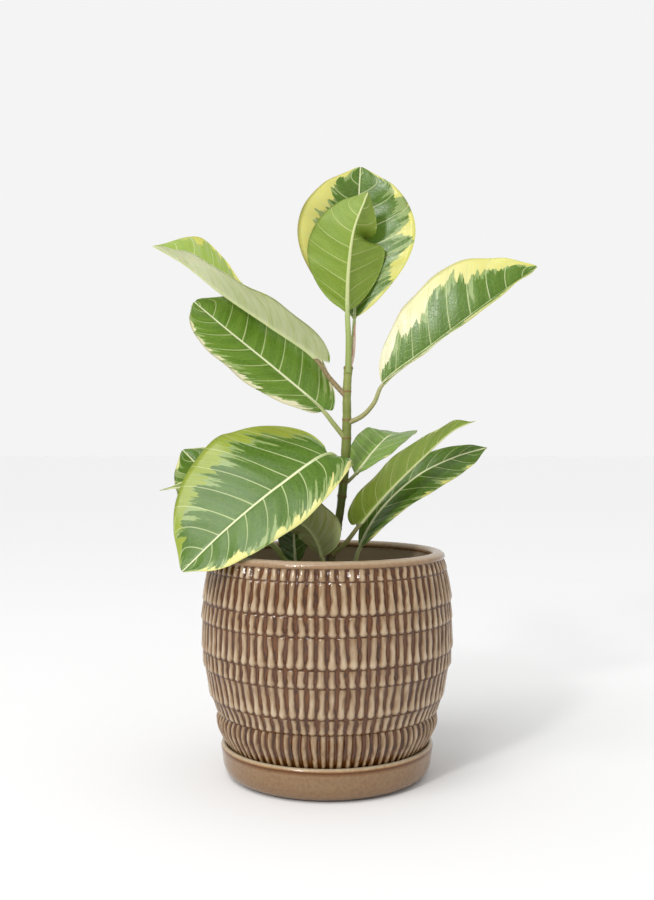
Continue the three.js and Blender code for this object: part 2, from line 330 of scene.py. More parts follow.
def carving_tree():
    """Geometry nodes that raise hand-carved ridges on a turned wall.

    Each ridge is narrow at its upper end, swells to a round bulb at its lower end and wanders a little.
    """
    tree, given = new_tree("carved_ridges", {
        "Ridges": "Int", "Wander": "Float", "Unevenness": "Float", "Seed": "Int", "Material": "Material",
    })
    turn, band, drop, rise, stretch = (
        put(tree, "GeometryNodeInputNamedAttribute", {"Name": key}, data_type="FLOAT").outputs["Attribute"]
        for key in ("turn", "band", "drop", "rise", "stretch")
    )
    # Which ridge a point belongs to, and how far it lies from the ridge's line, as a share of the pitch.
    angle = put(tree, MATH, [turn, 2 * math.pi], operation="MULTIPLY")
    cosine = put(tree, MATH, [angle], operation="COSINE")
    sine = put(tree, MATH, [angle], operation="SINE")
    level = put(tree, MATH, [drop, 0.16], operation="MULTIPLY")
    level = put(tree, MATH, [band, 3.7, level], operation="MULTIPLY_ADD")
    ring = put(tree, "ShaderNodeCombineXYZ", [cosine, sine, level])
    wander = put(tree, NOISE, {"Vector": ring, "Scale": 4.2, "Detail": 3.0, "Roughness": 0.6})
    shift = put(tree, MATH, [wander, 0.5], operation="SUBTRACT")
    shift = put(tree, MATH, [shift, given["Wander"]], operation="MULTIPLY")
    phase = put(tree, MATH, [turn, given["Ridges"], shift], operation="MULTIPLY_ADD")
    phase = put(tree, MATH, [phase, 400.5], operation="ADD")
    place = put(tree, MATH, [phase], operation="FRACT")
    place = put(tree, MATH, [place, 0.5], operation="SUBTRACT")
    number = put(tree, MATH, [phase], operation="FLOOR")
    number = put(tree, MATH, [number, given["Ridges"]], operation="MODULO")
    key = put(tree, "ShaderNodeCombineXYZ", [number, band, given["Seed"]])
    chance = put(tree, "ShaderNodeTexWhiteNoise", {"Vector": key})
    uneven = []
    for part in put(tree, "FunctionNodeSeparateColor", [chance.outputs["Color"]]).outputs:
        centred = put(tree, MATH, [part, 0.5], operation="SUBTRACT")
        uneven.append(put(tree, MATH, [centred, given["Unevenness"]], operation="MULTIPLY"))

    # The ridge's half width, and where its round lower end begins.
    slim = put(tree, MATH, [uneven[0], 0.12, 0.36], operation="MULTIPLY_ADD")
    bulb = put(tree, RANGE, [drop, 0.55, 0.86, 0.0, 0.13], interpolation_type="SMOOTHSTEP")
    point = put(tree, RANGE, [drop, 0.0, 0.25, 1.1, 1.0], interpolation_type="SMOOTHSTEP")
    width = put(tree, MATH, [slim, bulb], operation="ADD")
    width = put(tree, MATH, [width, point], operation="MULTIPLY")
    reach = put(tree, MATH, [width, stretch], operation="DIVIDE")
    end = put(tree, MATH, [uneven[1], 0.05, 0.985], operation="MULTIPLY_ADD")
    end = put(tree, MATH, [end, reach], operation="SUBTRACT")
    over = put(tree, MATH, [drop, end], operation="SUBTRACT")
    over = put(tree, MATH, [over, 0.0], operation="MAXIMUM")
    over = put(tree, MATH, [over, stretch], operation="MULTIPLY")

    # A domed cross-section, some ridges higher than others, and small lumps left by the blade.
    away = put(tree, MATH, [over, over], operation="MULTIPLY")
    square = put(tree, MATH, [place, place], operation="MULTIPLY")
    away = put(tree, MATH, [square, away], operation="ADD")
    away = put(tree, MATH, [away], operation="SQRT")
    share = put(tree, MATH, [away, width], operation="DIVIDE")
    share = put(tree, MATH, [share, 2.2], operation="POWER")
    dome = put(tree, MATH, [1.0, share], operation="SUBTRACT")
    dome = put(tree, MATH, [dome, 0.0], operation="MAXIMUM")
    relief = put(tree, MATH, [dome, 0.75], operation="POWER")
    swell = put(tree, MATH, [uneven[2], 0.3, 1.0], operation="MULTIPLY_ADD")
    height = put(tree, MATH, [relief, rise], operation="MULTIPLY")
    height = put(tree, MATH, [height, swell], operation="MULTIPLY")
    rough = put(tree, NOISE, {"Scale": 60.0, "Detail": 3.0})
    rough = put(tree, MATH, [rough, 0.5], operation="SUBTRACT")
    lump = put(tree, MATH, [rise, 0.24], operation="MULTIPLY")
    lumps = put(tree, MATH, [rough, lump], operation="MULTIPLY")
    total = put(tree, MATH, [height, lumps], operation="ADD")
    out = put(tree, "ShaderNodeCombineXYZ", [cosine, sine])
    offset = put(tree, "ShaderNodeVectorMath", {0: out, "Scale": total}, operation="SCALE")
    kept = put(tree, "GeometryNodeStoreNamedAttribute",
               {"Geometry": given["Geometry"], "Name": "relief", "Value": relief}, data_type="FLOAT")
    moved = put(tree, "GeometryNodeSetPosition", {"Geometry": kept, "Offset": offset})
    glazed = put(tree, "GeometryNodeSetMaterial", {"Geometry": moved, "Material": given["Material"]})
    put(tree, "NodeGroupOutput", {"Geometry": glazed})
    return tree


def apply_tree(piece, tree, values):
    """Runs a geometry tree on a piece and leaves the result as its plain mesh."""
    modifier = piece.modifiers.new(tree.name, "NODES")
    modifier.node_group = tree
    for item in tree.interface.items_tree:
        if item.item_type == "SOCKET" and item.in_out == "INPUT" and item.name in values:
            modifier[item.identifier] = values[item.name]
    graph = bpy.context.evaluated_depsgraph_get()
    made = bpy.data.objects.new(piece.name + "_made", bpy.data.meshes.new_from_object(
        piece.evaluated_get(graph), depsgraph=graph))
    name = piece.name
    bpy.data.objects.remove(piece)
    made.name = name
    bpy.context.collection.objects.link(made)
    return made


def stoneware_glaze():
    """Iron-brown glaze poured over carved buff stoneware and fired glossy.

    It runs thin and beige on the ridges, pools caramel to dark brown in the cuts, and shines like glass.
    A painted highlight lightens the bulb at each ridge's lower end, and a painted shade darkens its upper end
    under the row above.
    """
    material, tree, shader = new_material("poured_iron_glaze", roughness=0.15, ior=1.55)
    where = put(tree, "ShaderNodeTexCoord").outputs["Object"]
    relief, band, low = (
        put(tree, "ShaderNodeAttribute", attribute_name=key).outputs["Fac"]
        for key in ("relief", "band", "drop")
    )
    streaks = put(tree, "ShaderNodeMapping", {"Vector": where, "Scale": (420, 420, 90)})
    runs = put(tree, NOISE, {"Vector": streaks, "Scale": 1.0, "Detail": 4.0})
    clouds = put(tree, NOISE, {"Vector": where, "Scale": 45.0, "Detail": 3.0})
    uneven = put(tree, MATH, [runs, 0.5], operation="SUBTRACT")
    # Painted light: each ridge is drawn lighter down towards its bulb (painted highlight) and darker at its
    # top, tucked under the row above (painted shade).
    bulb_highlight_neck_shade = put(tree, RANGE, [low, 0.0, 0.85, 0.74, 1.02])
    relief_and_painted_light = put(tree, MATH, [relief, bulb_highlight_neck_shade], operation="MULTIPLY")
    depth = put(tree, MATH, [uneven, 0.8, relief_and_painted_light], operation="MULTIPLY_ADD")
    glaze = set_stops(put(tree, RAMP, [depth]), [
        (0.0, "#6a3d12"), (0.16, "#3a1c05"), (0.38, "#643e16"), (0.58, "#8f7250"), (0.78, "#a99275"),
        (1.0, "#c2ae93"),
    ])
    tint = set_stops(put(tree, RAMP, [clouds]), [(0.3, "#c4ab88"), (0.7, "#ffffff")])
    carved = put(tree, MIX, {0: 0.55, 6: glaze, 7: tint}, data_type="RGBA", blend_type="MULTIPLY").outputs[2]
    height = put(tree, "ShaderNodeSeparateXYZ", [where]).outputs[2]
    lip = put(tree, RANGE, [height, (RIM_TOP - 6.5) * MM, RIM_TOP * MM])
    wavy = put(tree, MATH, [uneven, 0.45, lip], operation="MULTIPLY_ADD")
    plain = set_stops(put(tree, RAMP, [wavy]), [
        (0.12, "#b39f86"), (0.17, "#6b4a26"), (0.3, "#8a6a48"), (0.6, "#987b5b"), (0.86, "#b09a80"),
        (1.0, "#a58a6c"),
    ])
    on_band = put(tree, RANGE, [band, -0.6, -0.4])
    colour = put(tree, MIX, {0: on_band, 6: plain, 7: carved}, data_type="RGBA").outputs[2]
    shine = put(tree, RANGE, [runs, 0.3, 0.7, 0.07, 0.2])
    grain = put(tree, NOISE, {"Vector": where, "Scale": 900.0, "Detail": 2.0})
    sag = put(tree, MATH, [runs, 3.0, grain], operation="MULTIPLY_ADD")
    bump = put(tree, "ShaderNodeBump", {"Height": sag, "Strength": 0.25, "Distance": 0.3 * MM})
    feed(tree, shader, {"Base Color": colour, "Roughness": shine, "Normal": bump})
    return material


class FIG_OT_pot(bpy.types.Operator):
    """Turns the pot's wall and carves its bands of ridges"""
    bl_idname = "fig.make_pot"
    bl_label = "Make pot"

    def execute(self, context):
        pot = context.scene.fig_pot
        pitch = 2 * math.pi * 96 / pot.ridges
        rows = pot_profile(pitch)
        profile = rows[:, :2] * MM
        attributes = {"band": rows[:, 2], "drop": rows[:, 3], "rise": rows[:, 4] * MM, "stretch": rows[:, 5]}
        blank = turned("carved_pot", profile, pot.around, attributes)
        piece = apply_tree(blank, carving_tree(), {
            "Ridges": pot.ridges, "Wander": 0.9, "Unevenness": 0.75, "Seed": 5, "Material": stoneware_glaze(),
        })
        finish_piece(piece, "pot", "pot_glaze")
        return {"FINISHED"}


# ---- saucer ----
def saucer_glaze():
    """Buff stoneware dipped in the same iron glaze and fired satin.

    It is flat beige brown, breaks pale on the rim's edge, and gathers in a dark line just under it.
    """
    material, tree, shader = new_material("dipped_saucer_glaze", roughness=0.16, ior=1.52)
    where = put(tree, "ShaderNodeTexCoord").outputs["Object"]
    height = put(tree, "ShaderNodeSeparateXYZ", [where]).outputs[2]
    slow = put(tree, NOISE, {"Vector": where, "Scale": 22.0, "Detail": 4.0})
    fine = put(tree, NOISE, {"Vector": where, "Scale": 420.0, "Detail": 3.0})
    level = put(tree, RANGE, [height, 0.0, SAUCER[1].z])
    centred = put(tree, MATH, [slow, 0.5], operation="SUBTRACT")
    wavy = put(tree, MATH, [centred, 0.03, level], operation="MULTIPLY_ADD")
    body = set_stops(put(tree, RAMP, [wavy]), [
        (0.0, "#6f563b"), (0.2, "#86694a"), (0.78, "#8d7050"), (0.85, "#7a4f22"), (0.9, "#48270b"),
        (0.93, "#9a6a34"), (0.97, "#b5a488"),
    ])
    specks = set_stops(put(tree, RAMP, [fine]), [(0.3, "#b89c7c"), (0.6, "#ffffff")])
    colour = put(tree, MIX, {0: 0.35, 6: body, 7: specks}, data_type="RGBA", blend_type="MULTIPLY").outputs[2]
    bump = put(tree, "ShaderNodeBump", {"Height": fine, "Strength": 0.12, "Distance": 0.2 * MM})
    feed(tree, shader, {"Base Color": colour, "Normal": bump})
    return material


def saucer_profile():
    """The saucer's outline, with round corners, in millimetres."""
    wide = SAUCER[1].x / MM
    top = SAUCER[1].z / MM
    wall = smooth_line([
        (70, 0), (75.2, 1.2), (79.4, 4.4), (81.6, 9.5), (wide - 1.1, 16), (wide - 0.3, 21.5), (wide, 23.6),
        (wide - 0.6, 25.1), (wide - 2.2, top), (wide - 3.9, 25.4), (wide - 4.7, 23.6), (wide - 5.2, 18),
        (wide - 6.2, 11), (wide - 9, 6.6), (68, 5),
    ], 5)
    inner = [(50, 4.9), (20, 4.9), (2, 4.9)]
    outer = [(2, 0), (35, 0), (66, 0)]
    return np.array([*outer, *wall, *inner])


class FIG_OT_saucer(bpy.types.Operator):
    """Turns the saucer with its rounded rim"""
    bl_idname = "fig.make_saucer"
    bl_label = "Make saucer"

    def execute(self, context):
        piece = turned("glazed_saucer", saucer_profile() * MM, 288)
        finish_piece(piece, "saucer", "saucer_glaze", saucer_glaze())
        return {"FINISHED"}


# ---- potting mix ----
def soil_tree():
    """Geometry nodes that strew crumbs over the upward faces of the potting mix."""
    tree, given = new_tree("strewn_crumbs", {
        "Crumbs per Area": "Float", "Largest": "Float", "Seed": "Int",
        "Mix Material": "Material", "Crumb Material": "Material",
    })
    normal = put(tree, "ShaderNodeSeparateXYZ", [put(tree, "GeometryNodeInputNormal")]).outputs[2]
    upward = put(tree, "FunctionNodeCompare", [normal, 0.7], data_type="FLOAT", operation="GREATER_THAN")
    spots = put(tree, "GeometryNodeDistributePointsOnFaces", {
        "Mesh": given["Geometry"], "Selection": upward, "Density": given["Crumbs per Area"],
        "Seed": given["Seed"],
    })
    crumb = put(tree, "GeometryNodeMeshIcoSphere", {"Radius": 1.0, "Subdivisions": 1})
    small = put(tree, MATH, [given["Largest"], 0.25], operation="MULTIPLY")
    size = put(tree, "FunctionNodeRandomValue", {2: small, 3: given["Largest"], "Seed": given["Seed"]})
    flat = put(tree, "FunctionNodeRandomValue", {0: (0.5, 0.5, 0.3), 1: (1.3, 1.0, 0.8), "Seed": 7},
               data_type="FLOAT_VECTOR")
    scale = put(tree, "ShaderNodeVectorMath", {0: flat, "Scale": size.outputs[1]}, operation="SCALE")
    turn = put(tree, "FunctionNodeRandomValue", {0: (0, 0, 0), 1: (6.28, 6.28, 6.28), "Seed": 3},
               data_type="FLOAT_VECTOR")
    strewn = put(tree, "GeometryNodeInstanceOnPoints", {
        "Points": spots, "Instance": crumb, "Rotation": turn, "Scale": scale,
    })
    loose = put(tree, "GeometryNodeRealizeInstances", {"Geometry": strewn})
    crumbs = put(tree, "GeometryNodeSetMaterial", {"Geometry": loose, "Material": given["Crumb Material"]})
    bed = put(tree, "GeometryNodeSetMaterial",
              {"Geometry": given["Geometry"], "Material": given["Mix Material"]})
    both = put(tree, "GeometryNodeJoinGeometry", [bed])
    tree.links.new(crumbs.outputs[0], both.inputs[0])
    put(tree, "NodeGroupOutput", {"Geometry": both})
    return tree


def mix_material(name, dark, light):
    """Moist peat, or bark crumbs, broken up by hand: dark, dull and ragged, with paler fibres."""
    material, tree, shader = new_material(name, roughness=0.92, ior=1.4)
    where = put(tree, "ShaderNodeTexCoord").outputs["Object"]
    grains = put(tree, NOISE, {"Vector": where, "Scale": 320.0, "Detail": 5.0, "Roughness": 0.7})
    colour = set_stops(put(tree, RAMP, [grains]), [(0.3, dark), (0.72, light)])
    bump = put(tree, "ShaderNodeBump", {"Height": grains, "Strength": 0.9, "Distance": 1.2 * MM})
    feed(tree, shader, {"Base Color": colour, "Normal": bump})
    return material


def ripple_soil(mesh, above):
    """Raises low heaps and hollows in the top of the mix."""
    co = np.zeros(len(mesh.vertices) * 3)
    mesh.vertices.foreach_get("co", co)
    co = co.reshape(-1, 3)
    x, y = co[:, 0] / MM, co[:, 1] / MM
    heaps = (np.sin(x * 0.21 + 1.1) * np.cos(y * 0.17) + np.sin(x * 0.47 + y * 0.39) * 0.5
             + np.sin(x * 0.93 - y * 1.07 + 2) * 0.3)
    co[:, 2] += np.where(co[:, 2] > above, heaps * 0.8 * MM, 0)
    mesh.vertices.foreach_set("co", co.ravel())
    mesh.update()


class FIG_OT_soil(bpy.types.Operator):
    """Fills the pot with potting mix and strews crumbs over it"""
    bl_idname = "fig.make_soil"
    bl_label = "Make potting mix"

    def execute(self, context):
        top = SOIL[1].z
        edge = 88.6 * MM
        rim = [
            (60 * MM, SOIL[0].z + 0.2 * MM), (64.6 * MM, 19.4 * MM), (79 * MM, 50 * MM), (90.4 * MM, 88 * MM),
            (91.6 * MM, 110 * MM), (91 * MM, 130 * MM), (edge, top - 3.2 * MM),
        ]
        bed = [
            (edge * share, top - (3.2 - 2.2 * (1 - share) ** 0.4) * MM)
            for share in np.linspace(0.985, 0.02, 46)
        ]
        blank = turned("potting_mix", np.array(rim + bed), 180)
        ripple_soil(blank.data, top - 4 * MM)
        piece = apply_tree(blank, soil_tree(), {
            "Crumbs per Area": 95000.0, "Largest": 2.4 * MM, "Seed": 11,
            "Mix Material": mix_material("moist_potting_mix", "#1d140d", "#4a3626"),
            "Crumb Material": mix_material("bark_crumbs", "#2b1d12", "#6b4f38"),
        })
        finish_piece(piece, "potting_soil", "potting_mix")
        return {"FINISHED"}


# ---- stem and bud ----
# Route of the main stem: x, y, z and radius in millimetres.
STEM = np.array([
    (2, 0, 146, 3.9),
    (3, 0, 169, 3.6),
    (7, 0, 187, 3.6),
    (10.2, 0, 204, 3.2),
    (13, 0, 228, 3.5),
    (15, 0, 254, 3.8),
    (15.8, 0, 278, 3.5),
    (15.8, 0, 301, 3.3),
    (17, 0, 320.6, 3.4),
])
SCAR_HEIGHTS = (171, 192, 217.5, 229, 263.5, 278, 300.5, 319)
BUD_ROUTE = [(17.6, 0.6, 318), (20.6, 1.6, 330), (22.4, 1.8, 356)]
FRONT = np.array([0.0, -1.0, 0.0])


def stem_bark():
    """Young fig bark that grew smooth and green and has begun to turn to cork low down.

    It is satin, mottled olive, with red-brown ring scars where sheaths and leaves fell.
    """
    material, tree, shader = new_material("green_fig_bark", roughness=0.48, ior=1.45)
    where = put(tree, "ShaderNodeTexCoord").outputs["Object"]
    height = put(tree, "ShaderNodeSeparateXYZ", [where]).outputs[2]
    scar = put(tree, "ShaderNodeAttribute", attribute_name="scar").outputs["Fac"]
    stretched = put(tree, "ShaderNodeMapping", {"Vector": where, "Scale": (420, 420, 70)})
    streaks = put(tree, NOISE, {"Vector": stretched, "Scale": 1.0, "Detail": 4.0, "Roughness": 0.65})
    patches = put(tree, NOISE, {"Vector": where, "Scale": 110.0, "Detail": 4.0})
    level = put(tree, RANGE, [height, 0.15, 0.33])
    wavy = put(tree, MATH, [put(tree, MATH, [patches, 0.5], operation="SUBTRACT"), 0.35, level],
               operation="MULTIPLY_ADD")
    green = set_stops(put(tree, RAMP, [wavy]), [
        (0.0, "#4d4029"), (0.22, "#5f5a30"), (0.42, "#66712e"), (0.7, "#757f38"), (1.0, "#969c55"),
    ])
    cork = set_stops(put(tree, RAMP, [streaks]), [(0.5, "#5a6b34"), (0.68, "#8a7a58")])
    corky = put(tree, RANGE, [streaks, 0.54, 0.7, 0.0, 0.7])
    mottled = put(tree, MIX, {0: corky, 6: green, 7: cork}, data_type="RGBA").outputs[2]
    scarred = put(tree, MATH, [scar, 0.8], operation="MULTIPLY")
    colour = put(tree, MIX, {0: scarred, 6: mottled, 7: linear("#7a4a30")}, data_type="RGBA").outputs[2]
    bump = put(tree, "ShaderNodeBump", {"Height": streaks, "Strength": 0.4, "Distance": 0.4 * MM})
    feed(tree, shader, {"Base Color": colour, "Normal": bump})
    return material


class FIG_OT_stem(bpy.types.Operator):
    """Grows the main stem with its ring scars"""
    bl_idname = "fig.make_stem"
    bl_label = "Make stem"

    def execute(self, context):
        spine = Spine(STEM[:, :3])
        places = np.linspace(0, len(STEM) - 1, 330)
        heights = spine.at(places)[:, 2]
        radii = np.interp(places, np.arange(len(STEM)), STEM[:, 3])
        scar = np.zeros_like(radii)
        for height in SCAR_HEIGHTS:
            away = heights - height
            radii += 0.3 * np.exp(-(away / 2.6) ** 2) + 0.2 * np.exp(-(away / 0.5) ** 2)
            radii -= 0.15 * np.exp(-((away - 1.2) / 0.5) ** 2)
            scar += np.exp(-(away / 0.8) ** 2)
        radii *= 1 + 0.02 * np.sin(places * 9) + 0.015 * np.sin(places * 23 + 1)
        sides = 36
        points = tube_points(spine, places, FRONT, radii, sides)
        piece = mesh_object("green_stem", points * MM, tube_faces(len(places), sides),
                            {"scar": np.repeat(np.minimum(scar, 1), sides)})
        finish_piece(piece, "main_stem", "stem_bark", stem_bark())
        return {"FINISHED"}


def bud_sheath():
    """The papery sheath of a young fig bud, grown in one pointed roll: pale pink, silky, with fine ribs."""
    material, tree, shader = new_material("pink_bud_sheath", roughness=0.42, ior=1.42, soft=0.1)
    where = put(tree, "ShaderNodeTexCoord").outputs["Object"]
    stretched = put(tree, "ShaderNodeMapping", {"Vector": where, "Scale": (1500, 1500, 90)})
    ribs = put(tree, NOISE, {"Vector": stretched, "Scale": 1.0, "Detail": 3.0})
    colour = set_stops(put(tree, RAMP, [ribs]), [(0.3, "#b98472"), (0.55, "#dcc0ac"), (0.75, "#efe0cf")])
    bump = put(tree, "ShaderNodeBump", {"Height": ribs, "Strength": 0.3, "Distance": 0.2 * MM})
    feed(tree, shader, {"Base Color": colour, "Normal": bump})
    return material


class FIG_OT_bud(bpy.types.Operator):
    """Rolls the pointed bud at the top of the stem"""
    bl_idname = "fig.make_bud"
    bl_label = "Make bud"

    def execute(self, context):
        spine = Spine(BUD_ROUTE)
        share = np.linspace(0, 1, 60)
        radii = 1.7 * np.minimum(1, 0.75 + share * 2) * np.sqrt(np.clip(1.02 - share ** 2.2, 0.003, 1))
        sides = 24
        points = tube_points(spine, share * 2, FRONT, radii, sides)
        piece = mesh_object("terminal_bud_sheath", points * MM, tube_faces(len(share), sides))
        finish_piece(piece, "terminal_bud", "bud_sheath", bud_sheath())
        return {"FINISHED"}


# ---- leaves ----
# What each leaf says, with lengths in millimetres, angles in degrees, and pairs for the left and right half:
# stalk, rib: points from the stem to the blade, and along the midrib to the tip; face: where the top looks
# left, right: half widths; fold_left, fold_right: how far each half rises; broadest: its place along the rib
# base, tip: how full the outline is below and above that place; lobe: how far the base reaches back
# reach: how far the green goes towards the margin; base_reach: how much of that at the base
# veins: pairs of side veins; shade: how light the green is, on leaf_upper_left with a painted sheen in it
# cream: pallor of the margin at base and tip
# wood: how woody the stalk is; ripple: waves of the margin; pinch: extra fold on the left near the tip
# olive: how much greener the margin is on the right
LEAF = dict(
    base=(0.62, 0.62), tip=0.62, lobe=(0, 0), base_reach=1.0, veins=8, wood=0.2, ripple=0.8, pinch=0,
    olive=0,
)
LEAVES = {
    "leaf_crown_back": dict(
        LEAF, stalk=[(17, 2.2, 314), (21, 6, 344)],
        rib=[(22, 8, 360), (23, 15, 401), (25, 18, 444), (27, 15, 483)], face=(0, -1, 0.2), left=49,
        right=48, fold_left=12, fold_right=14, broadest=(0.55, 0.55), base=(0.7, 0.7), stalk_radius=1.8,
        reach=(0.68, 0.84), shade=0.3, cream=(0.1, 0.15), wood=0.1,
    ),
    "leaf_crown_front": dict(
        LEAF, stalk=[(16.8, -1.5, 315), (17, -3.5, 342)],
        rib=[(16, -6, 364), (17, -14, 397), (21, -19, 425), (32, -14, 455)], face=(0, 1, 0.3), left=36,
        right=38, fold_left=38, fold_right=28, broadest=(0.46, 0.46), base=(0.7, 0.75), stalk_radius=2.6,
        reach=(1.3, 1.3), veins=7, shade=0.3, cream=(0.1, 0.1), wood=0.0, ripple=0.6, pinch=30,
    ),
    "leaf_upper_left": dict(
        LEAF, stalk=[(15.6, -0.5, 296), (2, -3, 311)],
        rib=[(-10, -6, 327), (-45, -14, 351), (-81, -18, 375), (-112, -17, 399), (-136, -14, 413)],
        face=(0.3, -0.1, 1), left=31, right=33, fold_left=34, fold_right=46, broadest=(0.3, 0.72),
        # shade=0.95 makes the pale underside paler still: a painted sheen, the silvery pallor where strong
        # light falls on it.
        base=(0.6, 0.8), tip=0.8, lobe=(11, 3), stalk_radius=2.2, reach=(1.1, 0.9), shade=0.95,
        cream=(0.5, -0.2), wood=0.8,
    ),
    "leaf_mid_left": dict(
        LEAF, stalk=[(15.4, -0.5, 262), (5, -3, 275)],
        rib=[(-4, -5, 286), (-40, -11, 317), (-78, -10, 348), (-105, -4, 371)], face=(0.4, -0.85, 0.5),
        left=33, right=42, fold_left=8, fold_right=10, broadest=(0.5, 0.46), base=(0.62, 0.5), tip=0.5,
        lobe=(1, 7), stalk_radius=2.2, reach=(0.93, 1.05), base_reach=0.75, shade=0.42, cream=(1.0, 0.6),
        wood=0.3, ripple=1.0,
    ),
    "leaf_upper_right": dict(
        LEAF, stalk=[(15.8, -0.5, 275), (28, -4, 281), (37, -7, 291)],
        rib=[(44, -9, 306), (81, -18, 335), (126, -24, 369), (163, -20, 396)], face=(-0.42, -0.7, 0.57),
        left=44, right=33, fold_left=30, fold_right=40, broadest=(0.53, 0.5), tip=0.7, stalk_radius=2.1,
        reach=(0.6, 0.8), base_reach=0.9, veins=9, shade=0.35, cream=(0.9, 0.1), wood=0.5,
    ),
    "leaf_low_left_front": dict(
        LEAF, stalk=[(14.5, -1, 246), (9.5, -5, 246.5)],
        rib=[(1, -13, 251), (-35, -38, 228), (-74, -56, 196), (-106, -64, 165)], face=(-0.2, -0.9, 0.4),
        left=38, right=69, fold_left=8, fold_right=-4, broadest=(0.42, 0.38), base=(0.62, 0.72),
        lobe=(19, 0), stalk_radius=2.3, reach=(0.86, 0.8), base_reach=0.95, veins=9, shade=0.22,
        cream=(0.4, 0.3), ripple=1.0, olive=0.6,
    ),
    "leaf_low_left_back": dict(
        LEAF, stalk=[(-24, 3, 134), (-34, 6, 166)],
        rib=[(-47, 12, 181), (-70, 26, 204), (-95, 37, 229), (-121, 44, 254)], face=(0.1, -0.9, 0.5),
        left=36, right=27, fold_left=10, fold_right=10, broadest=(0.58, 0.58), lobe=(2, 2),
        stalk_radius=2.8, reach=(1.0, 0.95), shade=0.3, cream=(0.4, 0.4), ripple=0.6,
    ),
    "leaf_low_left_edge": dict(
        LEAF, stalk=[(8, 1, 192), (-10, 5, 205)],
        rib=[(-28, 6, 216), (-64, 5, 225), (-100, 3, 227), (-133, 1, 222)], face=(0, -0.12, 1), left=24,
        right=15, fold_left=8, fold_right=8, broadest=(0.5, 0.5), tip=0.8, lobe=(3, 3), stalk_radius=1.9,
        reach=(0.7, 0.8), shade=0.5, cream=(0.5, 0.4), wood=0.4,
    ),
    "leaf_low_right_small": dict(
        LEAF, stalk=[(13, 0.5, 226), (19, 2, 231)],
        rib=[(24, 4, 236), (37, 20, 252), (52, 40, 266), (63, 57, 268)], face=(-0.2, -0.5, 0.9), left=24,
        right=26, fold_left=8, fold_right=12, broadest=(0.56, 0.56), tip=0.42, lobe=(2, 2),
        stalk_radius=1.6, reach=(1.2, 1.15), veins=7, shade=0.6, cream=(0.3, 0.3), wood=0.4, ripple=0.6,
    ),
    "leaf_low_right_mid": dict(
        LEAF, stalk=[(3, -1.5, 170), (14, -6, 180)],
        rib=[(27, -9, 197), (47, -16, 221), (74, -20, 248), (98, -18, 269), (116, -14, 277)],
        face=(-0.6, 0.4, 0.65), left=18, right=22, fold_left=40, fold_right=28, broadest=(0.27, 0.27),
        base=(0.55, 0.55), tip=1.1, lobe=(6, 6), stalk_radius=2.1, reach=(1.2, 1.1), veins=9, shade=0.35,
        cream=(0.2, 0.2), wood=0.5,
    ),
    "leaf_low_right": dict(
        LEAF, stalk=[(19, 8, 132), (22, 8, 160)],
        rib=[(26, 9, 175), (42, 11, 204), (73, 13, 233), (103, 13, 248), (129, 11, 256)],
        face=(-0.47, -0.75, 0.5), left=14, right=26, fold_left=15, fold_right=12, broadest=(0.5, 0.55),
        base=(0.7, 0.7), tip=0.8, stalk_radius=2, reach=(1.2, 1.02), veins=9, shade=0.2, cream=(0.3, 0.1),
        wood=0.3, ripple=0.6,
    ),
    "leaf_low_centre": dict(
        LEAF, stalk=[(1, -12, 134), (-3, -14, 160)],
        rib=[(-4, -15, 171), (-12, -19, 190), (-30, -19, 203), (-54, -15, 210)], face=(0.5, 0.6, 0.6),
        left=31, right=28, fold_left=12, fold_right=12, broadest=(0.46, 0.46), base=(0.8, 0.8),
        stalk_radius=2.1, reach=(1.1, 1.1), veins=7, shade=0.8, cream=(0.2, 0.2),
    ),
    "leaf_low_centre_dark": dict(
        LEAF, stalk=[(-19, 5, 132), (-24, 5, 150)],
        rib=[(-25, 5, 162), (-26, 6, 177), (-27, 8, 192), (-28, 11, 206)], face=(0, -1, 0.2), left=13,
        right=11, fold_left=12, fold_right=12, broadest=(0.5, 0.5), base=(0.7, 0.7), tip=0.7,
        stalk_radius=1.7, reach=(1.2, 1.2), veins=6, shade=0.1, cream=(0.2, 0.2), ripple=0.3,
    ),
}


VARIEGATED = (
    "leaf_crown_back", "leaf_crown_front", "leaf_upper_left", "leaf_mid_left", "leaf_upper_right",
    "leaf_low_left_front",
)


def half_width(leaf, t, s):
    """Half width of a blade in millimetres, round where a lobe reaches back and drawn to a short point."""
    right = s > 0
    broadest = np.where(right, leaf["broadest"][1], leaf["broadest"][0])
    oval = np.sin(np.pi * t ** (math.log(0.5) / np.log(broadest)))
    power = np.where(t < broadest, np.where(right, leaf["base"][1], leaf["base"][0]), leaf["tip"])
    point = np.clip((t - 0.88) / 0.12, 0, 1)
    oval = oval ** power * (1 - 0.35 * point * point * (3 - 2 * point))
    shoulder = np.minimum(lobe_of(leaf, s) / 40, 0.4) * (1 - t) ** 5
    return np.where(right, leaf["right"], leaf["left"]) * np.hypot(oval, shoulder)


def lobe_of(leaf, s):
    """How far the lobe on this half reaches back past the base, in millimetres."""
    return np.where(s > 0, leaf["lobe"][1], leaf["lobe"][0])


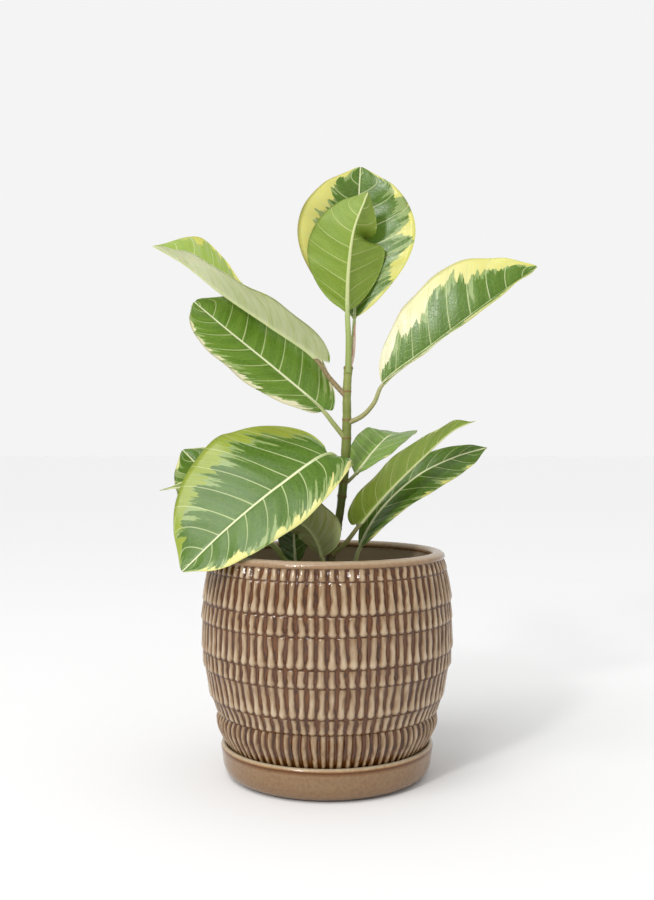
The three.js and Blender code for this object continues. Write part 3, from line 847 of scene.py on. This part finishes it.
def blade_middle(leaf, t, s):
    """The middle surface of a blade and its width, from places t along the midrib and s across."""
    spine = Spine(leaf["stalk"] + leaf["rib"])
    joint = len(leaf["stalk"])
    rows = t[:, 0]
    centre, tangent, side, up = spine.frames(joint + (spine.count - 1 - joint) * rows, np.array(leaf["face"]))
    width = half_width(leaf, t, s)
    fold = np.radians(np.where(s > 0, leaf["fold_right"], leaf["fold_left"]))
    fold = fold + np.where(s < 0, np.radians(leaf["pinch"]), 0) * np.exp(-((t - 0.68) / 0.08) ** 2)
    q = np.abs(s)
    back = lobe_of(leaf, s) * np.sin(0.75 * np.pi * q ** 1.3) * (1 - t) ** 4
    waves = np.sin(t * 17 + np.where(s > 0, 1.0, 3.4) + leaf["left"]) + 0.6 * np.sin(t * 31 + s * 2)
    lift = q * width * np.sin(fold) * (1.2 - 0.2 * q) + leaf["ripple"] * q ** 2 * waves
    return (
        centre[:, None] - tangent[:, None] * back[..., None]
        + side[:, None] * (s * width * np.cos(fold))[..., None] + up[:, None] * lift[..., None]
    ), width


def blade_mesh(leaf, seed, settings):
    """Points, faces and drawing attributes of a blade with a top, an underside and an edge."""
    length = np.linalg.norm(np.diff(np.array(leaf["rib"], dtype=float), axis=0), axis=1).sum()
    across = np.linspace(-1, 1, 2 * settings.across + 1)
    s = np.sign(across) * np.abs(across) ** 1.6
    rows = 0.5 - 0.5 * np.cos(np.pi * np.linspace(0.03, 0.97, settings.along))
    t, s = np.meshgrid(rows * 0.5 + np.linspace(0.003, 0.997, settings.along) * 0.5, s, indexing="ij")
    middle, width = blade_middle(leaf, t, s)
    along = np.gradient(middle, axis=0)
    normal = unit(np.cross(np.gradient(middle, axis=1), along))
    q = np.abs(s)
    right = (s > 0).astype(float)
    vein = t * leaf["veins"] - (0.9 * q + 0.5 * q ** 2) * leaf["veins"] / 8 + 0.5 * right
    swell = 0.35 * (0.5 - 0.5 * np.cos(2 * np.pi * vein)) * np.sin(np.pi * np.clip(q, 0, 1)) ** 0.7
    from_rib = q * width
    groove = 0.35 * np.exp(-(from_rib / 0.9) ** 2)
    ridge = (0.3 + 1.5 * (1 - t) ** 1.5) * np.exp(-(from_rib / (0.7 + 0.9 * (1 - t))) ** 2)
    half = settings.thickness / MM / 2 * (1 - 0.6 * q ** 6)
    top = middle + normal * (half + swell - groove)[..., None]
    under = middle - normal * (half - swell + ridge)[..., None]
    count, columns = t.shape
    faces = grid_faces(count, columns, False)
    faces += grid_faces(count, columns, False, count * columns, True)
    edge = [r * columns for r in range(count)] + [(count - 1) * columns + c for c in range(1, columns)]
    edge += [r * columns + columns - 1 for r in range(count - 2, -1, -1)] + list(range(columns - 2, 0, -1))
    for here, there in zip(edge, edge[1:] + edge[:1]):
        faces.append([here, here + count * columns, there + count * columns, there])
    reach = np.where(s > 0, leaf["reach"][1], leaf["reach"][0])
    reach = reach * (leaf["base_reach"] + (1 - leaf["base_reach"]) * np.minimum(t / 0.3, 1))
    cream = leaf["cream"][0] + (leaf["cream"][1] - leaf["cream"][0]) * t - leaf["olive"] * right
    attributes = {
        "streak": np.stack([vein + 40 * right + 90 * seed, q, t], -1),
        "flat": np.stack([s * width, t * length, np.full_like(t, 37.0 * seed)], -1),
        "tone": np.stack([np.full_like(t, leaf["shade"]), cream, np.full_like(t, leaf["wood"])], -1),
        "border": q - reach,
    }
    attributes = {
        key: np.concatenate([v.reshape(count * columns, -1)] * 2).squeeze() for key, v in attributes.items()
    }
    return np.concatenate([top.reshape(-1, 3), under.reshape(-1, 3)]), faces, attributes, count * columns


def add_stalk(leaf, points, faces, attributes):
    """Adds the stalk, which sinks into the underside of the midrib and thins out there."""
    spine = Spine(leaf["stalk"] + leaf["rib"])
    joint = len(leaf["stalk"])
    reach = joint + (spine.count - 1 - joint) * 0.14
    places = np.linspace(0, reach, 56)
    inside = np.clip((places - joint + 0.25) / (reach - joint + 0.25), 0, 1)
    radii = leaf["stalk_radius"] * (1 - 0.28 * places / reach) * (1 - 0.75 * inside ** 1.5)
    sides = 20
    facing = np.array(leaf["face"])
    ring = tube_points(spine, places, facing, radii, sides).reshape(len(places), sides, 3)
    up = spine.frames(places, facing)[3]
    ring = ring - up[:, None] * (radii * 0.8 * inside)[:, None, None]
    faces = faces + tube_faces(len(places), sides, len(points))
    points = np.concatenate([points, ring.reshape(-1, 3)])
    share = np.repeat(places / reach, sides)
    more = {
        "streak": np.zeros((len(share), 3)), "flat": np.stack([share * 0, share * 60, share * 0], -1),
        "tone": np.stack([share, share * 0, share * 0 + leaf["wood"]], -1), "border": share * 0,
    }
    return points, faces, {key: np.concatenate([attributes[key], more[key]]) for key in attributes}


def leaf_marks(tree):
    """What colours every leaf skin: its veins, and the ragged edge between green and yellow."""
    streak = put(tree, "ShaderNodeAttribute", attribute_name="streak").outputs["Vector"]
    flat = put(tree, "ShaderNodeAttribute", attribute_name="flat").outputs["Vector"]
    tone = put(tree, "ShaderNodeAttribute", attribute_name="tone").outputs["Vector"]
    border = put(tree, "ShaderNodeAttribute", attribute_name="border").outputs["Fac"]
    w, q, t = put(tree, "ShaderNodeSeparateXYZ", [streak]).outputs
    from_rib = put(tree, "ShaderNodeSeparateXYZ", [flat]).outputs[0]
    shade, cream, _ = put(tree, "ShaderNodeSeparateXYZ", [tone]).outputs

    wide = put(tree, "ShaderNodeMapping", {"Vector": streak, "Scale": (1.3, 0.9, 0.5)})
    broad = put(tree, NOISE, {"Vector": wide, "Scale": 1.0, "Detail": 2.0})
    finger = put(tree, "ShaderNodeMapping", {"Vector": streak, "Scale": (3.6, 1.5, 0.5)})
    fingers = put(tree, NOISE, {"Vector": finger, "Scale": 1.0, "Detail": 3.0})
    tooth = put(tree, "ShaderNodeMapping", {"Vector": streak, "Scale": (15, 6.5, 1)})
    teeth = put(tree, NOISE, {"Vector": tooth, "Scale": 1.0, "Detail": 3.0})
    edge = put(tree, MATH, [broad, 0.9, border], operation="MULTIPLY_ADD")
    edge = put(tree, MATH, [fingers, 0.65, edge], operation="MULTIPLY_ADD")
    edge = put(tree, MATH, [teeth, 0.14, edge], operation="MULTIPLY_ADD")
    yellow = put(tree, RANGE, [edge, 0.835, 0.855])

    other = put(tree, "ShaderNodeMapping", {"Vector": streak, "Location": (17, 3, 0), "Scale": (4, 1.3, 0.5)})
    patches = put(tree, NOISE, {"Vector": other, "Scale": 1.0, "Detail": 4.0, "Roughness": 0.6})
    near = put(tree, MATH, [patches, 1.8, border], operation="MULTIPLY_ADD")
    near = put(tree, MATH, [broad, 0.6, near], operation="MULTIPLY_ADD")
    sage = put(tree, RANGE, [near, 1.09, 1.15])

    away = put(tree, MATH, [w, 0.5], operation="PINGPONG")
    fine = put(tree, MATH, [q, -0.02, 0.033], operation="MULTIPLY_ADD")
    ratio = put(tree, MATH, [away, fine], operation="DIVIDE")
    vein = put(tree, RANGE, [ratio, 0.5, 1.3, 1.0, 0.0])
    away_rib = put(tree, MATH, [from_rib], operation="ABSOLUTE")
    rib_width = put(tree, MATH, [t, -0.8, 1.3], operation="MULTIPLY_ADD")
    rib_ratio = put(tree, MATH, [away_rib, rib_width], operation="DIVIDE")
    rib = put(tree, RANGE, [rib_ratio, 0.75, 1.2, 1.0, 0.0])
    cells = put(tree, "ShaderNodeTexVoronoi", {"Vector": flat, "Scale": 0.28}, feature="DISTANCE_TO_EDGE")
    net = put(tree, RANGE, [cells.outputs["Distance"], 0.0, 0.07, 1.0, 0.0])
    thread = put(tree, "ShaderNodeMapping", {"Vector": streak, "Scale": (60, 2.2, 1)})
    threads = put(tree, NOISE, {"Vector": thread, "Scale": 1.0, "Detail": 2.0})
    return {
        "yellow": yellow, "sage": sage, "vein": vein, "rib": rib, "net": net, "threads": threads,
        "patches": patches, "shade": shade, "cream": cream, "t": t, "q": q,
    }


def leaf_skin(name, greens, sage, margins, vein, rib, relief, roughness, soft):
    """A leaf surface: green with sage patches inside a yellow to cream margin, under paler veins."""
    material, tree, shader = new_material(name, roughness, 1.45, soft)
    marks = leaf_marks(tree)
    clouded = put(tree, MATH, [marks["patches"], 0.5, marks["shade"]], operation="MULTIPLY_ADD")
    clouded = put(tree, MATH, [marks["threads"], 0.5, clouded], operation="MULTIPLY_ADD")
    level = put(tree, MATH, [clouded, 0.5], operation="SUBTRACT")
    green = set_stops(put(tree, RAMP, [level]), greens)
    half_sage = put(tree, MATH, [marks["sage"], 0.7], operation="MULTIPLY")
    centre = put(tree, MIX, {0: half_sage, 6: green, 7: linear(sage)}, data_type="RGBA").outputs[2]
    pale = put(tree, MATH, [marks["threads"], 0.5, marks["cream"]], operation="MULTIPLY_ADD")
    margin = set_stops(put(tree, RAMP, [pale]), margins)
    colour = put(tree, MIX, {0: marks["yellow"], 6: centre, 7: margin}, data_type="RGBA").outputs[2]
    faint = put(tree, MATH, [marks["net"], 0.07], operation="MULTIPLY")
    colour = put(tree, MIX, {0: faint, 6: colour, 7: linear(vein)}, data_type="RGBA").outputs[2]
    strong = put(tree, MATH, [marks["vein"], 0.68], operation="MULTIPLY")
    colour = put(tree, MIX, {0: strong, 6: colour, 7: linear(vein)}, data_type="RGBA").outputs[2]
    colour = put(tree, MIX, {0: marks["rib"], 6: colour, 7: linear(rib)}, data_type="RGBA").outputs[2]
    lines = put(tree, MATH, [marks["net"], 0.3, marks["vein"]], operation="MULTIPLY_ADD")
    lines = put(tree, MATH, [marks["threads"], 0.5, lines], operation="MULTIPLY_ADD")
    bump = put(tree, "ShaderNodeBump", {"Height": lines, "Strength": abs(relief), "Distance": 0.3 * MM},
               invert=relief < 0)
    feed(tree, shader, {"Base Color": colour, "Normal": bump})
    return material


def leaf_top():
    """The waxy upper skin of a variegated fig leaf.

    A thin wax layer over leathery flesh gives it a broad satin shine, with veins sunk a little below it.
    """
    return leaf_skin(
        "waxy_leaf_top", [(0.0, "#3c5c14"), (0.35, "#56791f"), (0.65, "#789a38"), (1.0, "#9fb752")], "#9fb271",
        [(0.0, "#8a9c34"), (0.25, "#cfcd64"), (0.6, "#dbd685"), (1.0, "#e2dcb8")], "#ccd69c", "#dfe3b8", -0.35,
        0.27, 0.06)


def leaf_underside():
    """The dull lower skin of the leaf, without the wax: paler and greyer, with raised veins."""
    # The palest, greyest green stop serves pale undersides, and also the painted sheen of leaf_upper_left.
    return leaf_skin(
        "dull_leaf_underside", [(0.0, "#66801f"), (0.35, "#7f9832"), (0.65, "#9aaa50"), (1.0, "#cbd0a8")],
        "#aab67c", [(0.2, "#bccb70"), (0.6, "#c9d389"), (1.0, "#dedcb4")], "#c4cc84", "#cdd496", 0.5,
        0.42, 0.08)


def leaf_stalk():
    """The smooth young bark of a leaf stalk: green, or brown and grained where it has begun to turn to wood."""
    material, tree, shader = new_material("smooth_leaf_stalk", roughness=0.42, ior=1.45)
    where = put(tree, "ShaderNodeTexCoord").outputs["Object"]
    tone = put(tree, "ShaderNodeAttribute", attribute_name="tone").outputs["Vector"]
    share, _, wood = put(tree, "ShaderNodeSeparateXYZ", [tone]).outputs
    grain = put(tree, NOISE, {"Vector": where, "Scale": 500.0, "Detail": 4.0})
    green = set_stops(put(tree, RAMP, [share]), [(0.0, "#8f9c58"), (0.5, "#9fb066"), (1.0, "#bcc98a")])
    brown = set_stops(put(tree, RAMP, [grain]), [(0.35, "#7d6a48"), (0.6, "#a28f68")])
    amount = put(tree, MATH, [grain, 0.6, wood], operation="MULTIPLY_ADD")
    turned_wood = put(tree, RANGE, [amount, 0.4, 1.1])
    colour = put(tree, MIX, {0: turned_wood, 6: green, 7: brown}, data_type="RGBA").outputs[2]
    bump = put(tree, "ShaderNodeBump", {"Height": grain, "Strength": 0.15, "Distance": 0.2 * MM})
    feed(tree, shader, {"Base Color": colour, "Normal": bump})
    return material


class FIG_OT_leaves(bpy.types.Operator):
    """Grows every leaf with its stalk, midrib, side veins and variegation"""
    bl_idname = "fig.make_leaves"
    bl_label = "Make leaves"

    def execute(self, context):
        skins = leaf_top(), leaf_underside(), leaf_stalk()
        for seed, (node, leaf) in enumerate(LEAVES.items(), 1):
            points, faces, attributes, half = blade_mesh(leaf, seed, context.scene.fig_leaf)
            blade_faces = len(faces)
            points, faces, attributes = add_stalk(leaf, points, faces, attributes)
            piece = mesh_object(node + "_blade", points * MM, faces, attributes)
            skin = [2 if i >= blade_faces else int(min(face) >= half or max(face) >= half)
                    for i, face in enumerate(faces)]
            piece.data.polygons.foreach_set("material_index", skin)
            slot = "leaf_variegated" if node in VARIEGATED else "leaf_green"
            finish_piece(piece, node, slot, *skins)
        return {"FINISHED"}


# ---- stage ----
PAPER = "#f4f4f4"
FLOOR_REACH = 40
# Strength of the world's light from below and from straight above.
GLOW = (0.72, 0.84)
# For each light: its kind, strength and extent, and in metres where it stands and what it is turned to.
LIGHTS = {
    "key": ("SUN", 1.0, ("angle", math.radians(30)), (-0.34, -0.42, 0.84), (0, 0, 0)),
    "window": ("AREA", 14, ("size", 0.22), (-0.95, -1.6, 1.15), (0, 0, 0.3)),
}


def matt_paper():
    """Uncoated white paper, rolled smooth: flat, without a shine."""
    material, _, shader = new_material("matt_white_paper", roughness=0.9, ior=1.4)
    shader.inputs["Base Color"].default_value = linear(PAPER)
    return material


class FIG_OT_stage(bpy.types.Operator):
    """Sets the plant on a pale floor under soft studio light, and places the camera"""
    bl_idname = "fig.make_stage"
    bl_label = "Make stage"

    def execute(self, context):
        stage = context.scene.fig_stage
        floor = mesh_object("floor", [
            (-FLOOR_REACH, -FLOOR_REACH, 0), (FLOOR_REACH, -FLOOR_REACH, 0),
            (FLOOR_REACH, FLOOR_REACH, 0), (-FLOOR_REACH, FLOOR_REACH, 0),
        ], [[0, 1, 2, 3]])
        floor.data.materials.append(matt_paper())

        for name, (kind, energy, extent, place, target) in LIGHTS.items():
            lamp = bpy.data.lights.new(name, kind)
            lamp.energy = energy
            setattr(lamp, *extent)
            light = bpy.data.objects.new(name, lamp)
            light.location = place
            light.rotation_euler = (Vector(place) - Vector(target)).to_track_quat("Z", "Y").to_euler()
            context.collection.objects.link(light)

        world = bpy.data.worlds.new("studio")
        context.scene.world = world
        world.use_nodes = True
        nodes = world.node_tree
        nodes.nodes.clear()
        height = put(nodes, "ShaderNodeSeparateXYZ", [put(nodes, "ShaderNodeNewGeometry").outputs["Normal"]])
        glow = put(nodes, RANGE, [height.outputs[2], -0.2, 1.0, GLOW[0], GLOW[1]])
        dome = put(nodes, "ShaderNodeBackground", {"Color": (1, 1, 1, 1), "Strength": glow})
        plain = put(nodes, "ShaderNodeBackground", {"Color": linear(PAPER), "Strength": 1.0})
        seen = put(nodes, "ShaderNodeLightPath").outputs["Is Camera Ray"]
        both = put(nodes, "ShaderNodeMixShader", [seen, dome, plain])
        put(nodes, "ShaderNodeOutputWorld", {"Surface": both})

        camera = bpy.data.cameras.new("camera")
        camera.lens = stage.lens
        camera.sensor_width = 36
        eye = bpy.data.objects.new("camera", camera)
        eye.location = (0, -stage.distance, stage.height)
        eye.rotation_euler = (math.radians(90), 0, 0)
        context.collection.objects.link(eye)
        context.scene.camera = eye
        context.scene.view_settings.view_transform = "Standard"
        return {"FINISHED"}


# ---- panel ----
class FIG_PT_panel(bpy.types.Panel):
    """Lists the pieces of the potted fig and their settings"""
    bl_idname = "FIG_PT_panel"
    bl_label = "Potted Fig"
    bl_space_type = "VIEW_3D"
    bl_region_type = "UI"
    bl_category = "Fig"

    def draw(self, context):
        for settings in (context.scene.fig_pot, context.scene.fig_leaf, context.scene.fig_stage):
            for name in settings.__annotations__:
                self.layout.prop(settings, name)
        for operator in OPERATORS:
            self.layout.operator(operator.bl_idname)


OPERATORS = (FIG_OT_saucer, FIG_OT_pot, FIG_OT_soil, FIG_OT_stem, FIG_OT_bud, FIG_OT_leaves, FIG_OT_stage)
SETTINGS = {"fig_pot": FigPotSettings, "fig_leaf": FigLeafSettings, "fig_stage": FigStageSettings}
CLASSES = (*SETTINGS.values(), *OPERATORS, FIG_PT_panel)


def register():
    for each in CLASSES:
        bpy.utils.register_class(each)
    for name, settings in SETTINGS.items():
        setattr(bpy.types.Scene, name, PointerProperty(type=settings))


def unregister():
    for name in SETTINGS:
        delattr(bpy.types.Scene, name)
    for each in reversed(CLASSES):
        bpy.utils.unregister_class(each)


def main():
    register()
    bpy.ops.fig.make_saucer()
    bpy.ops.fig.make_pot()
    bpy.ops.fig.make_soil()
    bpy.ops.fig.make_stem()
    bpy.ops.fig.make_bud()
    bpy.ops.fig.make_leaves()
    bpy.ops.fig.make_stage()


if __name__ == "__main__":
    main()
